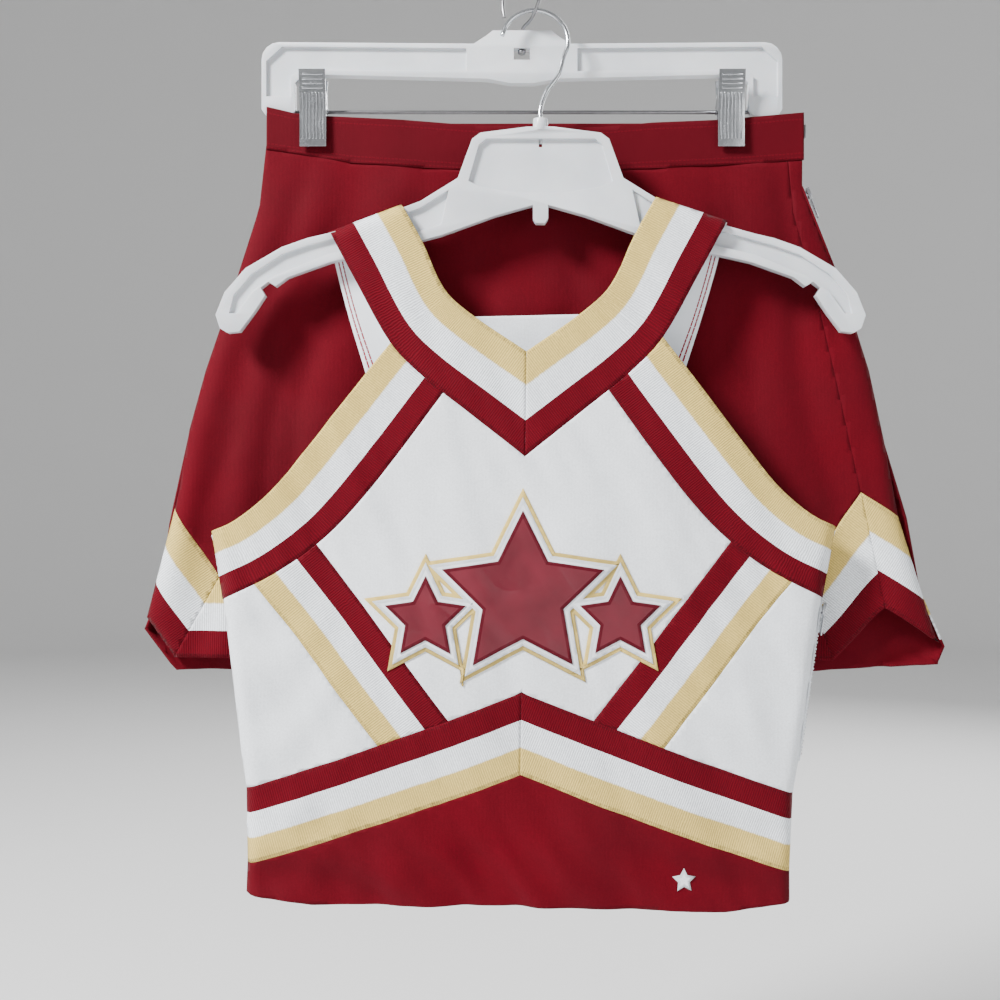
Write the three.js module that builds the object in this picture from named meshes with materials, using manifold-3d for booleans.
// A two-piece cheer uniform on its hangers: a sleeveless shell on a plastic shirt hanger, whose hook
// is looped over the hook of the clip hanger that carries the skirt.
// Millimetres, +Z up, +X to the wearer's left, -Y to the front of the uniform.
// The origin is the inside top of the clip hanger's hook, where it rests on a rail.
import * as THREE from "three";
import { mergeVertices } from "three/addons/utils/BufferGeometryUtils.js";
import Module from "manifold-3d";

const wasm = await Module();
wasm.setup();

// ---- driving dimensions ----
const GAP = 0.3; // between pieces that touch
const CLOTH = 2.5; // a layer of double knit with its facing
const TRIM = 0.9; // one layer of appliqué twill
const CURVE_STEPS = 4; // straight pieces between two points of a curved pattern edge

const RAIL_HOOK_RADIUS = 26; // to the middle of the wire
const RAIL_HOOK_WIRE = 2.4;
const RAIL_HOOK_TURN = 60; // degrees that the hook's loop is swivelled towards the front
const BOSS_TOP = -53;

const BAR_HALF = 178; // half the clip hanger's 14 inch length
const BAR_HEIGHT = 23;
const BAR_DEPTH = 8;
const BAR_TOP = -60;
const BAR_WEB = 3; // thickness left in the recessed web
const BAR_CORNER = 12; // radius of the bar's upper corners
const RIM = 3.2;
const WINDOW_HALF = 5.5; // the window that shows the hook's head
const WINDOW_HEIGHT = 8;
const LEG_WIDTH = 23;
const LEG_BOTTOM = -112;
const CLIP_HANGER_Y = 14;

const ROD_DIAMETER = 2.7;
const ROD_Z = -108;
const COIL_WIRE = 1.3;
const COIL_HALF = 5.5; // half the length of a clip's spring
const CLIP_WIDTH = 18;
const WAIST_RIGHT = -174; // the ends of the skirt's waistband, to the wearer's right and left
const WAIST_LEFT = 192;
const CLIP_INSET = 32; // how far in from the waistband's end a clip grips
const CLIP_X = -WAIST_RIGHT - CLIP_INSET;
const CLIP_TOP = BAR_TOP - BAR_HEIGHT;
const CLIP_BOTTOM = -134;
const SHEET = 1.4; // pressed steel of the clips
const EAR = 1; // thickness of the ears that hold the jaws on the rod
const PAD = 2;
const PAD_HEIGHT = 12;

const SKIRT_GRIP_Y = 9.85; // middle of the gripped waistband
const WAISTBAND = 2.7; // thickness of one gripped layer
const FRONT_FLARE = 0.0215; // how far the skirt's layers open per millimetre of drop
const BACK_FLARE = 0.03;
const HIP_Z = -145; // where the flare starts
const BACK_HEM_Z = -490;
const HEM_BRAID = 55; // height of the skirt's braid and facing

const SHIRT_HANGER_X = 12;
const SHIRT_HANGER_Y = -12;
const SHIRT_HANGER_DEPTH = 8;
const SHIRT_HOOK_WIRE = 3;
const SHIRT_HOOK_RADIUS = 22.3;
const SHIRT_HOOK_LEAN = 0.182; // millimetres back per millimetre up
const STEM_Z = -119;
const SHIRT_HANGER_WEB = 2.6; // depth of the recesses in each face
const COLLAR_RADIUS = 5;
const COLLAR_HEIGHT = 8;

const SHELL_INSIDE = 14; // room between the shell's front and back layers
const PATTERN_LENGTH = 440; // shoulder to hem as the pattern below is drawn
const SHELL_LENGTH = 440; // shoulder to hem as it is made
const SHOULDER_Z = -200; // above this the shell keeps the hanger's shape
const TILT_TOP = 0.0297; // the shell hangs a little askew: slope across it at the straps
const TILT_HEM = -0.0175; // and at the hem
const SHELL_TOP_Z = -175;
const SHELL_HEM_Z = -640;

const CENTRE_STAR = 56;
const SIDE_STAR = 28;
const SIDE_STAR_X = 64;
const SIDE_STAR_DROP = 15;
const STAR_WAIST = 0.5; // inner radius as a share of the outer radius
const OUTLINE_WHITE = 4; // how far each layer shows round the star
const OUTLINE_GOLD = 6.5;
const EMBLEM_Z = -437;
const HEM_STAR = 8;
const HEM_STAR_PLACE = [109, -623];

const ZIP_WIDTH = 11;
const ZIP_TAPE = 1.2;
const SLIDER_WIDTH = 5;

// ---- materials ----
const paint = (color, roughness, metalness = 0) =>
  new THREE.MeshStandardMaterial({ color, roughness, metalness });
const CARDINAL = () => paint(0x8b1626, 0.85);
const WHITE = () => paint(0xe9eef1, 0.85);
const BRAID = () => paint(0xcdb98c, 0.9);
const GOLD = () => paint(0xd6c39a, 0.9);
const SATIN = () => paint(0x8e1a30, 0.4);
const MILKY = () => paint(0xd8dade, 0.35);
const CHROME = () => paint(0xb9bcc0, 0.2, 1);
const STEEL = () => paint(0x77797c, 0.35, 1);
const RUBBER = () => paint(0x3a56a8, 0.7);

const uniform = new THREE.Group();

function add(name, geometry, material) {
  const mesh = new THREE.Mesh(geometry, material);
  mesh.name = name;
  uniform.add(mesh);
}

// ---- solids ----
function solidOf(geometry) {
  geometry.deleteAttribute("normal");
  geometry.deleteAttribute("uv");
  const merged = mergeVertices(geometry, 1e-4);
  return new wasm.Manifold(
    new wasm.Mesh({
      numProp: 3,
      vertProperties: merged.attributes.position.array,
      triVerts: new Uint32Array(merged.index.array),
    }),
  );
}

function geometryOf(solid) {
  const { vertProperties, triVerts } = solid.getMesh();
  return new THREE.BufferGeometry()
    .setAttribute("position", new THREE.BufferAttribute(vertProperties, 3))
    .setIndex(new THREE.BufferAttribute(triVerts, 1));
}

const flatShape = (points) => new THREE.Shape(points.map(([a, b]) => new THREE.Vector2(a, b)));

// An outline in X and Z, given thickness from y = front back to y = front + depth.
function slab(points, front, depth) {
  return new THREE.ExtrudeGeometry(flatShape(points), { depth, bevelEnabled: false, steps: 1 })
    .rotateX(Math.PI / 2)
    .translate(0, front + depth, 0);
}

// An outline in Y and Z, given a width along X.
function profile(points, left, width) {
  return new THREE.ExtrudeGeometry(flatShape(points), { depth: width, bevelEnabled: false })
    .applyMatrix4(new THREE.Matrix4().set(0, 0, 1, left, 1, 0, 0, 0, 0, 1, 0, 0, 0, 0, 0, 1));
}

function signedArea(points) {
  return points.reduce((sum, [x, z], i) => {
    const [x2, z2] = points[(i + 1) % points.length];
    return sum + (x * z2 - x2 * z) / 2;
  }, 0);
}

// The outline moved outwards by a distance, with mitred corners.
function grown(points, distance) {
  const turn = Math.sign(signedArea(points));
  const normal = ([x1, z1], [x2, z2]) => {
    const length = Math.hypot(x2 - x1, z2 - z1);
    return [(turn * (z2 - z1)) / length, (-turn * (x2 - x1)) / length];
  };
  return points.map((point, i) => {
    const before = normal(points[(i + points.length - 1) % points.length], point);
    const after = normal(point, points[(i + 1) % points.length]);
    const share = distance / (1 + before[0] * after[0] + before[1] * after[1]);
    return [point[0] + (before[0] + after[0]) * share, point[1] + (before[1] + after[1]) * share];
  });
}

// One flat tile, cut back by the gap where earlier tiles of its layer already lie.
function tile(points, front, depth, neighbours = []) {
  let solid = solidOf(slab(points, front, depth));
  for (const outline of neighbours)
    solid = solid.subtract(solidOf(slab(grown(outline, GAP), front - 1, depth + 2)));
  return geometryOf(solid);
}

function wire(points, diameter, steps, sides = 10) {
  const section = new THREE.Shape();
  section.absarc(0, 0, diameter / 2, 0, 2 * Math.PI);
  return new THREE.ExtrudeGeometry(section, {
    steps,
    curveSegments: sides,
    bevelEnabled: false,
    extrudePath: new THREE.CatmullRomCurve3(points, false, "centripetal"),
  });
}

// A smooth line through the points.
const curved = (points) => new THREE.SplineCurve(points.map(([x, z]) => new THREE.Vector2(x, z)))
  .getPoints(CURVE_STEPS * (points.length - 1)).map(({ x, y }) => [x, y]);
const mirrored = (points) => points.map(([x, z]) => [-x, z]);
const band = (edge, otherEdge) => [...edge, ...[...otherEdge].reverse()];
const bothSides = (half) => [...half, ...mirrored(half).reverse()];
const degrees = (angle) => (angle * Math.PI) / 180;

// ---- clip hanger ----
function addClipHanger() {
  const front = CLIP_HANGER_Y - BAR_DEPTH / 2;
  const inner = BAR_HALF - LEG_WIDTH;
  const barBottom = BAR_TOP - BAR_HEIGHT;
  const cornerArc = [0, 1, 2, 3, 4].map((i) => [
    BAR_HALF - BAR_CORNER + BAR_CORNER * Math.sin(degrees(22.5 * i)),
    BAR_TOP - 1 - BAR_CORNER + BAR_CORNER * Math.cos(degrees(22.5 * i)),
  ]);
  const half = [
    [20, BOSS_TOP], [25, BOSS_TOP - 4], [33, BAR_TOP - 2], ...cornerArc,
    [BAR_HALF, LEG_BOTTOM + 5], [BAR_HALF - 4, LEG_BOTTOM], [inner + 4, LEG_BOTTOM],
    [inner, LEG_BOTTOM + 4], [inner, barBottom - 6], [inner - 6, barBottom],
    [24, barBottom - 3], [8, barBottom - 6],
  ];
  const outline = bothSides(half);
  const web = (BAR_DEPTH - BAR_WEB) / 2;
  const recess = [
    [38, BAR_TOP - 2 - RIM], [BAR_HALF - BAR_CORNER - 2, BAR_TOP - 1 - RIM],
    [BAR_HALF - RIM, BAR_TOP - BAR_CORNER - 2], [BAR_HALF - RIM, LEG_BOTTOM + 14],
    [inner + RIM, LEG_BOTTOM + 14], [inner + RIM, barBottom - 1], [inner - 4, barBottom + RIM],
    [38, barBottom - 1 + RIM],
  ];
  let body = solidOf(slab(outline, front, BAR_DEPTH));
  for (const side of [recess, mirrored(recess)])
    for (const from of [front - 1, front + BAR_DEPTH - web])
      body = body.subtract(solidOf(slab(side, from, web + 1)));
  const windowTop = BOSS_TOP - 12;
  const window = [
    [-WINDOW_HALF, windowTop], [WINDOW_HALF, windowTop],
    [WINDOW_HALF, windowTop - WINDOW_HEIGHT], [-WINDOW_HALF, windowTop - WINDOW_HEIGHT],
  ];
  body = body.subtract(solidOf(slab(window, front - 1, BAR_DEPTH + 2)));
  const bore = new THREE.CylinderGeometry(
    RAIL_HOOK_WIRE / 2 + GAP, RAIL_HOOK_WIRE / 2 + GAP, 20, 12,
  ).rotateX(Math.PI / 2).translate(0, CLIP_HANGER_Y, windowTop + 8);
  body = body.subtract(solidOf(bore));
  const rodBore = new THREE.CylinderGeometry(
    ROD_DIAMETER / 2 + GAP, ROD_DIAMETER / 2 + GAP, 2 * (inner + LEG_WIDTH / 2), 12,
  ).rotateZ(Math.PI / 2).translate(0, CLIP_HANGER_Y, ROD_Z);
  body = body.subtract(solidOf(rodBore));
  add("clip_hanger_body", geometryOf(body), MILKY());
  const rod = new THREE.CylinderGeometry(
    ROD_DIAMETER / 2, ROD_DIAMETER / 2, 2 * (inner + LEG_WIDTH / 2 - GAP), 12,
  ).rotateZ(Math.PI / 2).translate(0, CLIP_HANGER_Y, ROD_Z);
  add("clip_rod", rod, STEEL());

  const across = new THREE.Vector3(
    Math.cos(degrees(RAIL_HOOK_TURN)), -Math.sin(degrees(RAIL_HOOK_TURN)), 0,
  );
  const place = (u, z) => across.clone().multiplyScalar(u)
    .add(new THREE.Vector3(0, CLIP_HANGER_Y, z));
  const loopZ = -(RAIL_HOOK_RADIUS - RAIL_HOOK_WIRE / 2);
  const route = [place(0, windowTop - 1), place(0, BOSS_TOP - 5), place(0, BOSS_TOP),
    place(1.2, BOSS_TOP + 2.2)];
  for (let angle = -62; angle <= 204; angle += 14)
    route.push(place(
      RAIL_HOOK_RADIUS * Math.cos(degrees(angle)),
      loopZ + RAIL_HOOK_RADIUS * Math.sin(degrees(angle)),
    ));
  const head = new THREE.CylinderGeometry(3, 3, 3, 12)
    .rotateX(Math.PI / 2).translate(0, CLIP_HANGER_Y, windowTop - 1.8);
  const hook = solidOf(wire(route, RAIL_HOOK_WIRE, 64)).add(solidOf(head));
  add("rail_hook", geometryOf(hook), STEEL());
}

// ---- skirt clips, each a sprung pair of pressed jaws on the rod ----
function earOf(leanY, frontY) {
  const notch = ROD_DIAMETER / 2 + GAP;
  const around = [0, 1, 2, 3, 4, 5, 6].map((i) => [
    CLIP_HANGER_Y + notch * Math.cos(degrees(30 * i)),
    ROD_Z + notch * Math.sin(degrees(30 * i)),
  ]);
  const bottom = ROD_Z - 1.2;
  return leanY < 0
    ? [[frontY, bottom], [frontY, ROD_Z + 12], [CLIP_HANGER_Y + 3, ROD_Z + 4],
        [CLIP_HANGER_Y + 3, bottom], [CLIP_HANGER_Y + notch, bottom], ...around,
        [CLIP_HANGER_Y - notch, bottom]]
    : [[frontY, bottom], [CLIP_HANGER_Y + notch, bottom], ...around,
        [CLIP_HANGER_Y - notch, bottom], [CLIP_HANGER_Y - 3, bottom],
        [CLIP_HANGER_Y - 3, ROD_Z + 4], [frontY, ROD_Z + 12]];
}

function addClip(side, centre) {
  const half = CLIP_WIDTH / 2;
  const frontFace = SKIRT_GRIP_Y - WAISTBAND - GAP / 2;
  const backFace = SKIRT_GRIP_Y + WAISTBAND + GAP / 2;
  const padTop = CLIP_BOTTOM + 2 + PAD_HEIGHT;
  const plate = frontFace - GAP - PAD - GAP;
  const frontLever = [
    [plate, CLIP_BOTTOM], [plate, ROD_Z - 1], [plate - 5, CLIP_TOP],
    [plate - 5 - SHEET, CLIP_TOP], [plate - SHEET, ROD_Z - 1], [plate - SHEET, CLIP_BOTTOM],
  ];
  const rearPlate = backFace + GAP + PAD + GAP;
  const coilInner = ROD_DIAMETER / 2 + GAP;
  const coilOuter = coilInner + COIL_WIRE;
  // the rear jaw bows back round the spring
  const belly = Math.max(0, CLIP_HANGER_Y + coilOuter + 2 * GAP - rearPlate);
  const rearLever = [
    [rearPlate, CLIP_BOTTOM], [rearPlate, ROD_Z - 9], [rearPlate + belly, ROD_Z - 4],
    [rearPlate + belly, ROD_Z + 4], [rearPlate + 9, CLIP_TOP],
    [rearPlate + 9 + SHEET, CLIP_TOP], [rearPlate + belly + SHEET, ROD_Z + 4],
    [rearPlate + belly + SHEET, ROD_Z - 4], [rearPlate + SHEET, ROD_Z - 9],
    [rearPlate + SHEET, CLIP_BOTTOM],
  ];
  let frontJaw = solidOf(profile(frontLever, centre - half, CLIP_WIDTH));
  for (const x of [centre - half, centre + half - EAR])
    frontJaw = frontJaw.add(solidOf(profile(earOf(-1, plate - 1), x, EAR)));
  add(side + "_clip_front_jaw", geometryOf(frontJaw), CHROME());
  const rearHalf = half - EAR - 0.5; // the rear jaw's ears lie inside the front jaw's
  let rearJaw = solidOf(profile(rearLever, centre - rearHalf, 2 * rearHalf));
  for (const x of [centre - rearHalf, centre + rearHalf - EAR])
    rearJaw = rearJaw.add(solidOf(profile(earOf(1, rearPlate + belly + 1), x, EAR)));
  add(side + "_clip_rear_jaw", geometryOf(rearJaw), CHROME());
  const pad = (from) => profile(
    [[from, padTop - PAD_HEIGHT], [from + PAD, padTop - PAD_HEIGHT], [from + PAD, padTop],
      [from, padTop]],
    centre - half + 2.5, CLIP_WIDTH - 5,
  );
  add(side + "_clip_front_pad", pad(frontFace - GAP - PAD), RUBBER());
  add(side + "_clip_rear_pad", pad(backFace + GAP), RUBBER());
  const coil = [
    [coilInner, -COIL_HALF], [coilOuter, -COIL_HALF], [coilOuter, COIL_HALF],
    [coilInner, COIL_HALF], [coilInner, -COIL_HALF],
  ].map(([r, h]) => new THREE.Vector2(r, h));
  add(side + "_clip_spring",
    new THREE.LatheGeometry(coil, 14).rotateZ(Math.PI / 2).translate(centre, CLIP_HANGER_Y, ROD_Z),
    STEEL());
}

// ---- shirt hanger ----
function addShirtHanger() {
  const front = SHIRT_HANGER_Y - SHIRT_HANGER_DEPTH / 2;
  const upper = [
    [9, -126], [40, -130], [45.5, -134], [55, -160], [80, -175.5], [126, -192.5], [142, -197],
    [155, -200], [172, -206], [196, -220], [210, -236], [216, -251], [213, -260], [208, -263],
  ];
  const lower = [
    [200, -262], [191, -250], [183, -238], [186, -233], [181, -229], [176, -232], [168, -226],
    [140, -216], [100, -207], [66, -198], [30, -185], [5, -178], [5, -187], [3, -190],
  ];
  const at = (points) => points.map(([x, z]) => [x + SHIRT_HANGER_X, z]);
  let body = solidOf(slab(at(bothSides([...upper, ...lower])), front, SHIRT_HANGER_DEPTH));
  const panel = bothSides([[36, -134], [41, -138], [48, -162], [40, -166], [16, -170]]);
  const armRecess = [
    [61, -168], [80, -180], [126, -197], [155, -205], [172, -211], [192, -224], [204, -238],
    [207, -250], [202, -250], [192, -236], [176, -225], [142, -211], [100, -201], [66, -191],
  ];
  for (const recess of [panel, armRecess, mirrored(armRecess)])
    for (const from of [front - 1, front + SHIRT_HANGER_DEPTH - SHIRT_HANGER_WEB])
      body = body.subtract(solidOf(slab(at(recess), from, SHIRT_HANGER_WEB + 1)));
  const bore = new THREE.CylinderGeometry(
    SHIRT_HOOK_WIRE / 2 + GAP, SHIRT_HOOK_WIRE / 2 + GAP, 40, 12,
  ).rotateX(Math.PI / 2).translate(SHIRT_HANGER_X, SHIRT_HANGER_Y, STEM_Z);
  const collar = new THREE.CylinderGeometry(COLLAR_RADIUS, COLLAR_RADIUS, COLLAR_HEIGHT, 16)
    .rotateX(Math.PI / 2).translate(SHIRT_HANGER_X, SHIRT_HANGER_Y, STEM_Z - 5);
  body = body.add(solidOf(collar)).subtract(solidOf(bore));
  add("shirt_hanger_body", geometryOf(body), MILKY());

  const centre = [SHIRT_HANGER_X - 3.5, -64.5];
  const place = (x, z) => new THREE.Vector3(
    x, SHIRT_HANGER_Y + SHIRT_HOOK_LEAN * Math.max(0, z - STEM_Z), z,
  );
  const route = [place(SHIRT_HANGER_X, STEM_Z - 18), place(SHIRT_HANGER_X, STEM_Z - 2),
    place(SHIRT_HANGER_X, STEM_Z + 6), place(SHIRT_HANGER_X + 4, STEM_Z + 18),
    place(SHIRT_HANGER_X + 12, STEM_Z + 30)];
  for (let angle = -30; angle <= 170; angle += 20)
    route.push(place(
      centre[0] + SHIRT_HOOK_RADIUS * Math.cos(degrees(angle)),
      centre[1] + SHIRT_HOOK_RADIUS * Math.sin(degrees(angle)),
    ));
  add("shirt_hanger_hook", wire(route, SHIRT_HOOK_WIRE, 64), CHROME());
}

// ---- shell ----
// The symmetric pattern as it hangs: let down to its length, then shifted and tilted a little from
// strap to hem.
function hung([x, patternZ]) {
  const below = Math.min(0, patternZ - SHOULDER_Z);
  const z = patternZ + below * (SHELL_LENGTH / PATTERN_LENGTH - 1);
  const drop = (SHELL_TOP_Z - patternZ) / (SHELL_TOP_Z - SHELL_HEM_Z);
  const tilt = TILT_TOP + (TILT_HEM - TILT_TOP) * drop;
  return [x + 4 - 7 * drop, z + x * tilt];
}

const NECK_OUTER = curved([
  [132, -191.5], [112, -229], [90, -268], [67.5, -291.5], [40, -313.5], [0, -345],
]);
const NECK_INNER = curved([
  [85, -174.5], [70, -201.5], [59.5, -225.5], [49.5, -240], [29.5, -256], [0, -276],
]);
const ARM_OUTER = curved([
  [88, -266], [119, -305.5], [144.5, -338.5], [167, -366], [190, -385.5], [208, -393.5],
]);
const ARM_INNER = curved([
  [53, -300], [84.5, -343], [111.5, -377], [136, -401.5], [165.5, -422.5], [200, -439.5],
]);
const LOZENGE_INNER = [[139, -400], [105.5, -443], [77, -481.5], [43, -526]];
const LOZENGE_OUTER = [[177, -429], [147, -466], [120.5, -502.5], [90, -542]];
const WAIST_TOP = [[182, -567], [122, -547], [53, -521.5], [0, -501]];
const WAIST_BOTTOM = [[180.5, -617.5], [122, -599], [53, -575], [0, -555]];
const SIDE = [[208, -393.5], [200, -424.5], [199, -440.5], [190.5, -505], [185.5, -546], [182, -567],
  [180.5, -617.5], [181, -637]];
const HEM = [[136, -643], [0, -642]];
const BACK_STRAP_INNER = curved([
  [85, -174.5], [80, -205], [70, -235], [52, -250],
]);
const BACK_STRAP_OUTER = curved([
  [133, -191.5], [129, -213], [119, -250], [104, -298],
]);
const BACK_ARMHOLE = curved([
  [105, -298], [107, -312], [116, -340], [146, -374], [181, -392], [208, -396],
]);

const SHELL_FRONT = SHIRT_HANGER_Y - SHELL_INSIDE / 2 - CLOTH;
const SHELL_BACK = SHIRT_HANGER_Y + SHELL_INSIDE / 2;

function addShell() {
  const cut = (name, half, material, front, neighbours = []) => {
    for (const [side, outline] of [["right", mirrored(half)], ["left", half]])
      add(name + "_" + side, tile(outline.map(hung), front, CLOTH,
        neighbours.flatMap((n) => [n.map(hung), mirrored(n).map(hung)])), material());
  };
  const fromCentre = (points) => points.map(([x, z]) => [Math.max(x, GAP / 2), z]);
  const neck = band(fromCentre(NECK_OUTER), fromCentre(NECK_INNER));
  const armhole = band(ARM_OUTER, ARM_INNER);
  const waist = band(fromCentre(WAIST_TOP), fromCentre(WAIST_BOTTOM));
  const lozenge = band(LOZENGE_INNER, LOZENGE_OUTER);
  cut("neck_braid", neck, BRAID, SHELL_FRONT);
  cut("waist_braid", waist, BRAID, SHELL_FRONT);
  cut("armhole_braid", armhole, BRAID, SHELL_FRONT, [neck]);
  cut("lozenge_braid", lozenge, BRAID, SHELL_FRONT, [neck, armhole, waist]);
  const braids = [neck, armhole, waist, lozenge];
  const sidePanel = [[199.5, -438], [185.5, -546], [181.7, -568], [75, -537], [99, -492],
    [126, -455], [160, -415]];
  cut("side_panel", sidePanel, WHITE, SHELL_FRONT, braids);
  const everyBraid = braids.flatMap((n) => [n.map(hung), mirrored(n).map(hung)]);
  const centrePanel = bothSides([[0.1, -340], [60, -296], [137, -402], [46, -524], [0.1, -500]]);
  add("centre_panel", tile(centrePanel.map(hung), SHELL_FRONT, CLOTH, everyBraid), WHITE());
  const hemPanel = bothSides([[0.1, -552], [53, -572], [122, -596], [180.5, -614], SIDE.at(-1), HEM[0],
    [0.1, HEM[1][1]]]);
  add("hem_panel", tile(hemPanel.map(hung), SHELL_FRONT, CLOTH, everyBraid), CARDINAL());

  cut("back_strap", band(BACK_STRAP_INNER, BACK_STRAP_OUTER), BRAID, SHELL_BACK);
  const strap = band(BACK_STRAP_INNER, BACK_STRAP_OUTER);
  const straps = [strap.map(hung), mirrored(strap).map(hung)];
  const backNeck = bothSides([[52, -250], [104, -298]]);
  add("back_neck_braid", tile(backNeck.map(hung), SHELL_BACK, CLOTH, straps), BRAID());
  const backWaist = bothSides([WAIST_TOP[0], WAIST_BOTTOM[0]]);
  add("back_waist_braid", tile(backWaist.map(hung), SHELL_BACK, CLOTH), BRAID());
  const taken = [backNeck.map(hung), backWaist.map(hung), ...straps];
  const backPanel = bothSides([...BACK_ARMHOLE, ...SIDE.slice(1, 6)]);
  add("back_panel", tile(backPanel.map(hung), SHELL_BACK, CLOTH, taken), WHITE());
  const backHem = bothSides([[WAIST_BOTTOM[0][0], WAIST_BOTTOM[0][1] + 1], SIDE.at(-1), HEM[0]]);
  add("back_hem_panel", tile(backHem.map(hung), SHELL_BACK, CLOTH, taken), CARDINAL());

  const between = SHELL_FRONT + CLOTH + GAP;
  const room = SHELL_INSIDE - 2 * GAP;
  const shoulder = [NECK_INNER[0], NECK_OUTER[0], [131, -192.5], [85, -175.9]];
  const sideSeam = [...SIDE, ...[...SIDE].reverse().map(([x, z]) => [x - CLOTH, z])];
  for (const [side, flip] of [["right", mirrored], ["left", (p) => p]]) {
    add("shoulder_" + side, geometryOf(solidOf(slab(flip(shoulder).map(hung), between, room))), BRAID());
    add("side_seam_" + side, geometryOf(solidOf(slab(flip(sideSeam).map(hung), between, room))), WHITE());
  }
}

// ---- emblem: three stars cut from layered twill and satin, and a small sewn star at the hem ----
const starPoints = (radius, x, z) => {
  const points = [];
  for (let i = 0; i < 10; i++) {
    const r = i % 2 ? radius * STAR_WAIST : radius;
    points.push([x + r * Math.sin(degrees(36 * i)), z + r * Math.cos(degrees(36 * i))]);
  }
  return points;
};

function addEmblem() {
  const [x, z] = hung([0, EMBLEM_Z]);
  const stars = [
    ["centre", CENTRE_STAR, 0, 0],
    ["right", SIDE_STAR, -SIDE_STAR_X, -SIDE_STAR_DROP],
    ["left", SIDE_STAR, SIDE_STAR_X, -SIDE_STAR_DROP],
  ];
  const layer = (outline, front) => stars
    .map(([, radius, dx, dz]) => solidOf(slab(
      grown(starPoints(radius, x + dx, z + dz), outline), front, TRIM)))
    .reduce((all, one) => all.add(one));
  const base = SHELL_FRONT - GAP - TRIM;
  const step = TRIM + GAP;
  add("emblem_gold_layer", geometryOf(layer(OUTLINE_GOLD, base)), GOLD());
  add("emblem_white_layer", geometryOf(layer(OUTLINE_WHITE, base - step)), WHITE());
  for (const [side, radius, dx, dz] of stars)
    add("emblem_star_" + side,
      slab(starPoints(radius, x + dx, z + dz), base - 2 * step, TRIM), SATIN());
  const [hemX, hemZ] = hung(HEM_STAR_PLACE);
  add("hem_star", slab(starPoints(HEM_STAR, hemX, hemZ), base, TRIM), WHITE());
}

// ---- skirt ----
function flared(geometry, flare) {
  return geometry.applyMatrix4(new THREE.Matrix4().set(
    1, 0, 0, 0, 0, 1, flare, -flare * HIP_Z, 0, 0, 1, 0, 0, 0, 0, 1,
  ));
}

const WAIST_EDGE = [[WAIST_RIGHT, -106], [-155, -110.5], [-134, -112.5], [-83, -115], [-30, -119], [53, -120],
  [89, -117], [135, -115], [WAIST_LEFT, -110]];
const WAIST_SEAM = [[WAIST_RIGHT, -135], [-152, -138], [-117, -144], [-44, -149], [68, -149], [149, -145],
  [WAIST_LEFT, -142]];
const LEFT_EDGE = [[WAIST_RIGHT, -130], [-179, -173], [-188, -204], [-202, -245], [-216, -286], [-227, -326],
  [-234, -367], [-237, -380]];
const RIGHT_EDGE = [[191, -136], [191, -160], [222, -238], [237, -286], [247, -333], [257, -386]];
const PANEL_SEAM = [[181, -138], [185, -178], [198, -225], [212, -286], [222, -333], [230, -369]];
const BRAID_TOP = [[-237, -380], [-206, -426], [192, -426], [230, -369], [257, -386]];
const BRAID_BOTTOM = [[-256, -454], [-237, -481], [211, -483], [246, -447], [283, -470]];
const BACK_LEFT = [[-172, -143], [-179, -173], [-202, -245], [-227, -326], [-241, -390], [-247, -430]];
const BACK_RIGHT = [[191, -143], [191, -160], [222, -238], [247, -333], [263, -386], [272, -430]];

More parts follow.
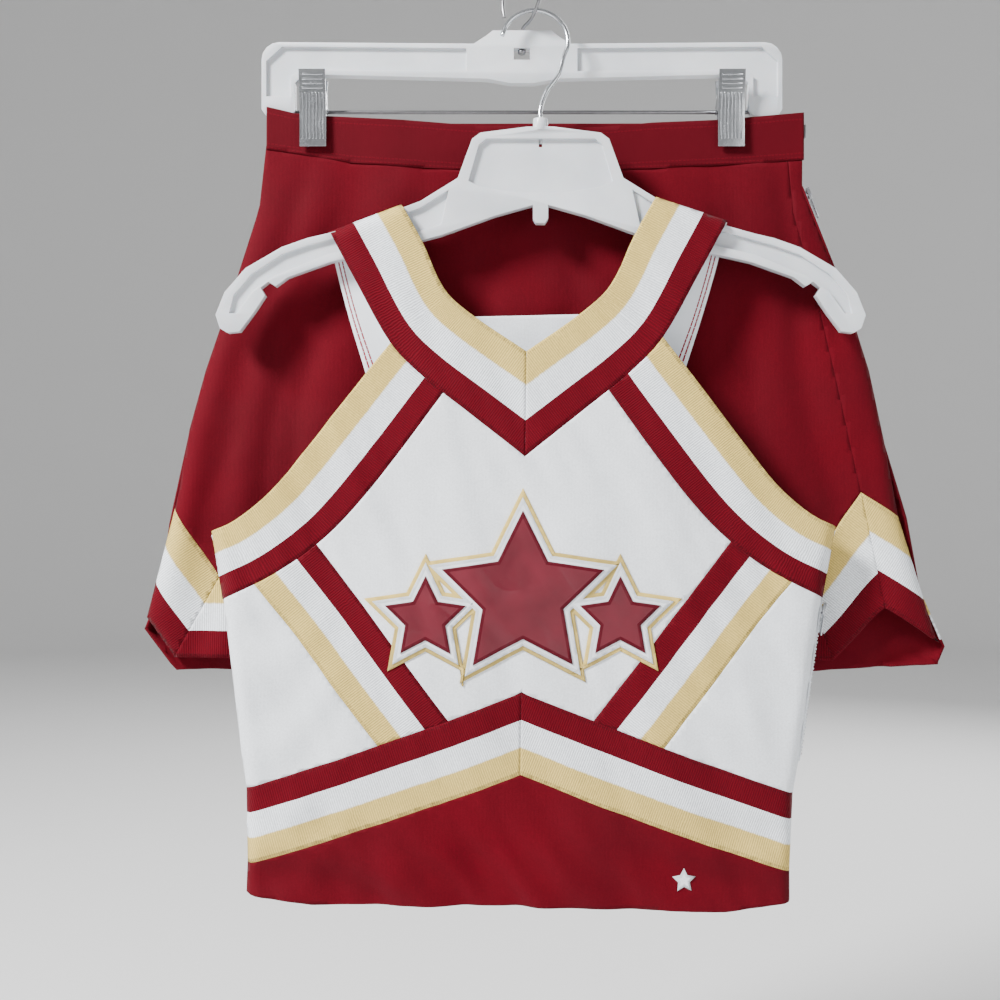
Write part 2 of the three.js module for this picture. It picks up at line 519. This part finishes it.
function addSkirt() {
  const front = SKIRT_GRIP_Y - CLOTH - GAP / 2;
  const back = SKIRT_GRIP_Y + GAP / 2;
  const bandFront = band(WAIST_EDGE, WAIST_SEAM);
  add("skirt_waistband_front", tile(bandFront, back - GAP - WAISTBAND, WAISTBAND), CARDINAL());
  const backBandTop = LEG_BOTTOM - 4.5;
  const backBandBottom = HIP_Z - 2;
  const bandBack = [[-172, backBandTop], [191, backBandTop], [191, backBandBottom], [-172, backBandBottom]];
  add("skirt_waistband_back", tile(bandBack, back, WAISTBAND), CARDINAL());

  const hemPieces = BRAID_TOP.slice(1).map((top, i) => [
    BRAID_TOP[i], top, BRAID_BOTTOM[i + 1], BRAID_BOTTOM[i],
  ]);
  ["right", "front", "notch", "left"].forEach((name, i) =>
    add("skirt_hem_braid_" + name,
      flared(tile(hemPieces[i], front, CLOTH, hemPieces.slice(0, i)), FRONT_FLARE), BRAID()));
  const sidePanel = band(PANEL_SEAM, RIGHT_EDGE);
  add("skirt_side_panel",
    flared(tile(sidePanel, front, CLOTH, [bandFront, ...hemPieces]), FRONT_FLARE), CARDINAL());
  const frontPanel = [...PANEL_SEAM, [192, -426], [-206, -426], ...[...LEFT_EDGE].reverse(),
    [68, -140]];
  add("skirt_front_panel",
    flared(tile(frontPanel, front, CLOTH, [bandFront, sidePanel, ...hemPieces]), FRONT_FLARE),
    CARDINAL());

  const backHemTop = BACK_HEM_Z + HEM_BRAID;
  const backPanel = [...BACK_LEFT.slice(0, -1), [-247, backHemTop], [272, backHemTop],
    ...BACK_RIGHT.slice(0, -1).reverse()];
  add("skirt_back_panel", flared(tile(backPanel, back, CLOTH, [bandBack]), -BACK_FLARE), CARDINAL());
  const backHem = [[-247, backHemTop - GAP], [-258, -462], [-237, -490], [202, -491], [284, -486],
    [289, -474], [272, backHemTop - GAP]];
  add("skirt_back_hem", flared(tile(backHem, back, CLOTH), -BACK_FLARE), BRAID());
  const eye = [[192.4, -118], [193.6, -118], [193.6, -127], [192.4, -127]];
  add("skirt_waist_hook", slab(eye, SKIRT_GRIP_Y - WAISTBAND + 0.5, 2 * WAISTBAND - 1), STEEL());
}

// ---- side zips: a tape along a straight stretch of the edge, and a slider with its pull ----
function addZip(name, top, bottom, middleY, color) {
  const length = Math.hypot(bottom[0] - top[0], bottom[1] - top[1]);
  const along = [(bottom[0] - top[0]) / length, (bottom[1] - top[1]) / length];
  const out = [-along[1], along[0]];
  const at = (down, away) => [
    top[0] + along[0] * down + out[0] * away, top[1] + along[1] * down + out[1] * away,
  ];
  const tape = [at(0, GAP), at(0, GAP + ZIP_TAPE), at(length, GAP + ZIP_TAPE), at(length, GAP)];
  add(name + "_tape", slab(tape, middleY - ZIP_WIDTH / 2, ZIP_WIDTH), color());
  const seat = 2 * GAP + ZIP_TAPE;
  const slider = [at(2, seat), at(2, seat + 2.4), at(9, seat + 2.4), at(9, seat + 1.8),
    at(24, seat + 1.8), at(24, seat + 0.8), at(10, seat + 0.8), at(10, seat)];
  add(name + "_slider", slab(slider, middleY - SLIDER_WIDTH / 2, SLIDER_WIDTH), CHROME());
}

addClipHanger();
addClip("right", -CLIP_X);
addClip("left", CLIP_X);
addShirtHanger();
addShell();
addEmblem();
addSkirt();
addZip("shell_zip", hung(SIDE[2]), hung(SIDE[4]), SHIRT_HANGER_Y, WHITE);
addZip("skirt_zip", RIGHT_EDGE[1], RIGHT_EDGE[2], SKIRT_GRIP_Y + 1, CARDINAL);

export default uniform;
